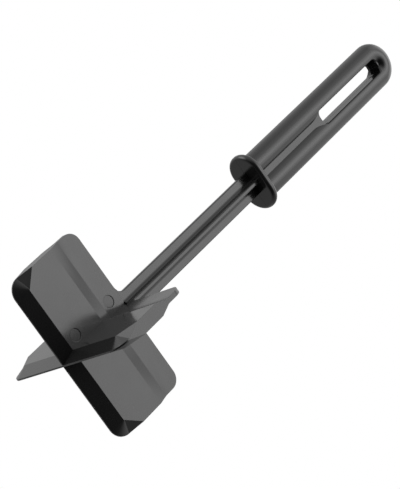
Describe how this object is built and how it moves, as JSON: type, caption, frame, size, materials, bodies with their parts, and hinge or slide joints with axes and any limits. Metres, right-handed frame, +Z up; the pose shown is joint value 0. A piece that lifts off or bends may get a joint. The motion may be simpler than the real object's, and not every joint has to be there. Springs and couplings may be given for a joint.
{
  "type": "meat masher",
  "caption": "Hand-held meat masher: crossing upright chopping blades on a cross-ribbed stem, with an oval finger guard and a two-lobe handle with a hanging slot.",
  "frame": {"origin": "on the worktop plane under the crossing of the blades, on the tool's long axis", "axes": "+Z up the tool from the cutting edges to the end of the handle, X along the wide blade and the handle's width, -Y the front that the picture shows"},
  "size_m": [0.086, 0.086, 0.2723],
  "materials": {
    "black_nylon": "semi-gloss black moulded nylon"
  },
  "bodies": {
    "root": {"wide_blade_left": "black_nylon", "wide_blade_right": "black_nylon", "cross_blade_front": "black_nylon", "cross_blade_rear": "black_nylon", "blade_hub": "black_nylon", "stem": "black_nylon", "finger_guard": "black_nylon", "handle": "black_nylon"}
  },
  "joints": []
}
